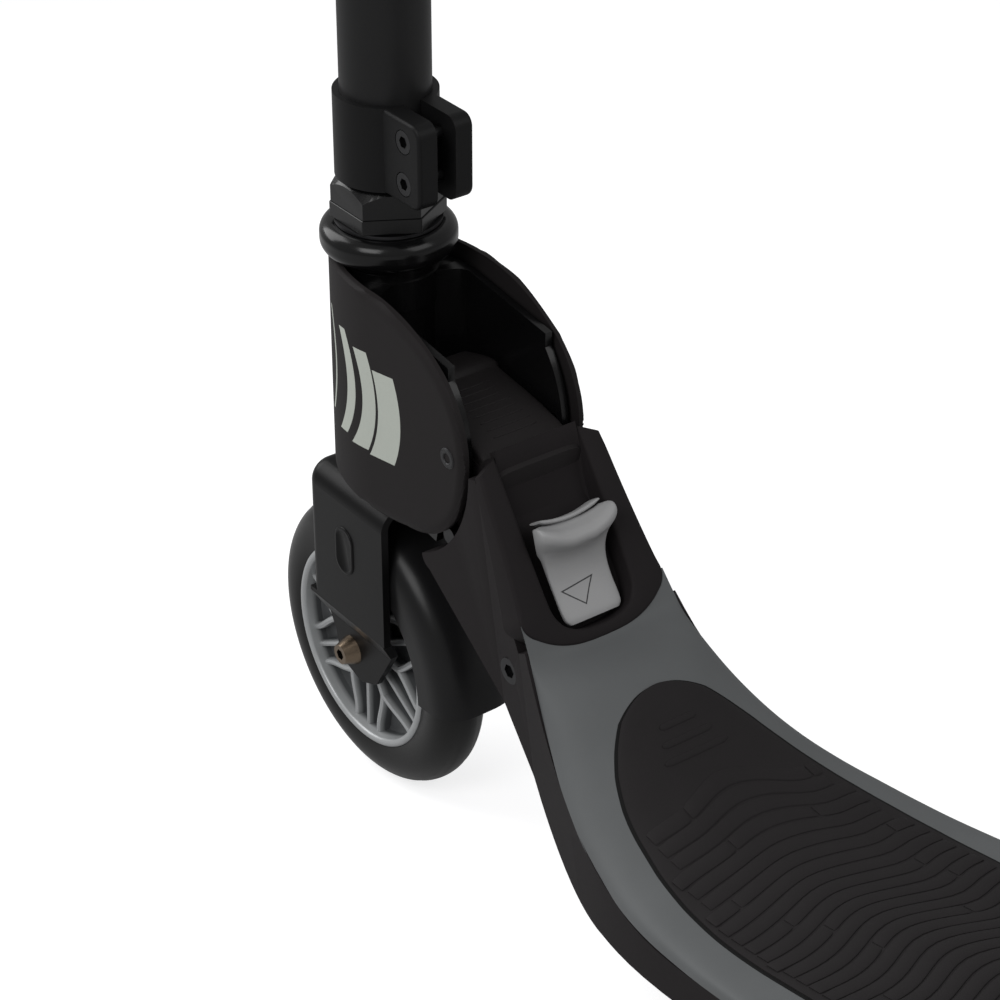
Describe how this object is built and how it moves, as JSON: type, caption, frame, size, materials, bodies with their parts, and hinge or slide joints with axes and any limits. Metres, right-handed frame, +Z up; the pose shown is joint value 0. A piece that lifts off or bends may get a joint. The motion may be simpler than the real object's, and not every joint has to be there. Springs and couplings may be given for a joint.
{
  "type": "kick scooter",
  "caption": "foldable adult kick scooter with a grey deck, curved neck with release lever, spoked hard wheels, headset, clamp collar, telescoping stem, T handlebar and heel brake",
  "frame": {"origin": "on the ground, midway between the two axles, in the middle of the width", "axes": "+X forward (front wheel side), +Y to the rider's left, +Z up"},
  "size_m": [0.7927, 0.43, 0.9241],
  "materials": {
    "tyre": "satin moulded polyurethane",
    "wheel_alloy": "satin grey wheel core",
    "bright_steel": "zinc plated",
    "black_metal": "matt black powder coat",
    "gloss_black_metal": "gloss black",
    "cover_plastic": "fine moulded grain",
    "deck_grey": "satin grey",
    "pad_rubber": "matt ribbed rubber",
    "lever_grey": "light grey moulding",
    "bush_plastic": "dark bearing plastic"
  },
  "bodies": {
    "deck": {"deck_frame": "cover_plastic", "deck_shell": "deck_grey", "grip_pad": "pad_rubber", "neck_panel": "cover_plastic", "rib_cover": "cover_plastic", "pivot_bolt": "bright_steel", "pivot_nut": "bright_steel", "pivot_bushes": "bush_plastic", "lock_spring": "bright_steel", "lever_pin": "bright_steel", "side_bolts": "bright_steel", "rear_fork": "black_metal", "rear_fork_screws": "bright_steel", "rear_axle_bolt": "bright_steel", "rear_axle_nut": "bright_steel", "rear_axle_spacers": "bright_steel", "brake_mount": "black_metal", "brake_pin": "bright_steel", "brake_spring": "bright_steel"},
    "release_lever": {"release_lever": "lever_grey"},
    "lock": {"lock_pin": "bright_steel", "lock_carriage": "black_metal"},
    "front_frame": {"fold_bracket": "black_metal", "left_cover": "cover_plastic", "right_cover": "cover_plastic", "cover_screws": "bright_steel", "lower_headset_cup": "gloss_black_metal", "upper_headset_cup": "gloss_black_metal", "headset_balls": "bright_steel"},
    "steering": {"fork": "black_metal", "steerer_tube": "black_metal", "front_mudguard": "cover_plastic", "crown_race": "bright_steel", "upper_race": "bright_steel", "thin_lock_nut": "gloss_black_metal", "tall_top_nut": "gloss_black_metal", "clamp_collar": "black_metal", "collar_screws": "bright_steel", "stem_tube": "black_metal", "stem_bush": "bush_plastic", "height_clamp": "black_metal", "clamp_skewer": "bright_steel", "cam_pin": "bright_steel", "front_axle_bolt": "bright_steel", "front_axle_nut": "bright_steel", "front_axle_spacers": "bright_steel"},
    "clamp_lever": {"clamp_lever": "lever_grey"},
    "handlebar": {"inner_tube": "black_metal", "guide_key": "bright_steel", "handlebar": "black_metal", "tee_joint": "cover_plastic", "grips": "pad_rubber"},
    "front_wheel": {"front_tyre": "tyre", "front_rim": "wheel_alloy", "front_bearings": "bright_steel"},
    "rear_wheel": {"rear_tyre": "tyre", "rear_rim": "wheel_alloy", "rear_bearings": "bright_steel"},
    "brake": {"brake_fender": "gloss_black_metal", "brake_shoe": "pad_rubber"}
  },
  "joints": [
    {"name": "fold", "type": "hinge", "parent": "deck", "child": "front_frame", "pos_m": [0.25889, 0, 0.18722], "axis": [0, -1, 0], "range_deg": [0, 79]},
    {"name": "steer", "type": "hinge", "parent": "front_frame", "child": "steering", "pos_m": [0.2963, 0, 0.1782], "axis": [-0.1908, 0, 0.9816], "range_deg": [-60, 60]},
    {"name": "front_wheel_spin", "type": "hinge", "parent": "steering", "child": "front_wheel", "pos_m": [0.33, 0, 0.0625], "axis": [0, 1, 0], "continuous": true},
    {"name": "rear_wheel_spin", "type": "hinge", "parent": "deck", "child": "rear_wheel", "pos_m": [-0.33, 0, 0.0625], "axis": [0, 1, 0], "continuous": true},
    {"name": "bar_height", "type": "slide", "parent": "steering", "child": "handlebar", "axis": [-0.1908, 0, 0.9816], "range_m": [0, 0.12]},
    {"name": "clamp_lever_swing", "type": "hinge", "parent": "steering", "child": "clamp_lever", "pos_m": [0.17598, 0.0185, 0.6662], "axis": [-0.1908, 0, 0.9816], "range_deg": [0, 100]},
    {"name": "release_press", "type": "hinge", "parent": "deck", "child": "release_lever", "pos_m": [0.18915, 0, 0.12328], "axis": [0, 1, 0], "range_deg": [0, 10], "stiffness_Nm_per_rad": 0.4, "springref_deg": -11.46},
    {"name": "lock_slide", "type": "slide", "parent": "deck", "child": "lock", "axis": [-0.5446, 0, -0.8387], "range_m": [0, 0.005], "deforming": ["lock_spring"]},
    {"name": "brake_press", "type": "hinge", "parent": "deck", "child": "brake", "pos_m": [-0.2505, 0, 0.0675], "axis": [0, -1, 0], "range_deg": [0, 2.2], "stiffness_Nm_per_rad": 6, "springref_deg": -6.88}
  ],
  "couplings": [
    {"joint": "lock_slide", "follows": "release_press", "m_per_rad": 0.028591}
  ]
}
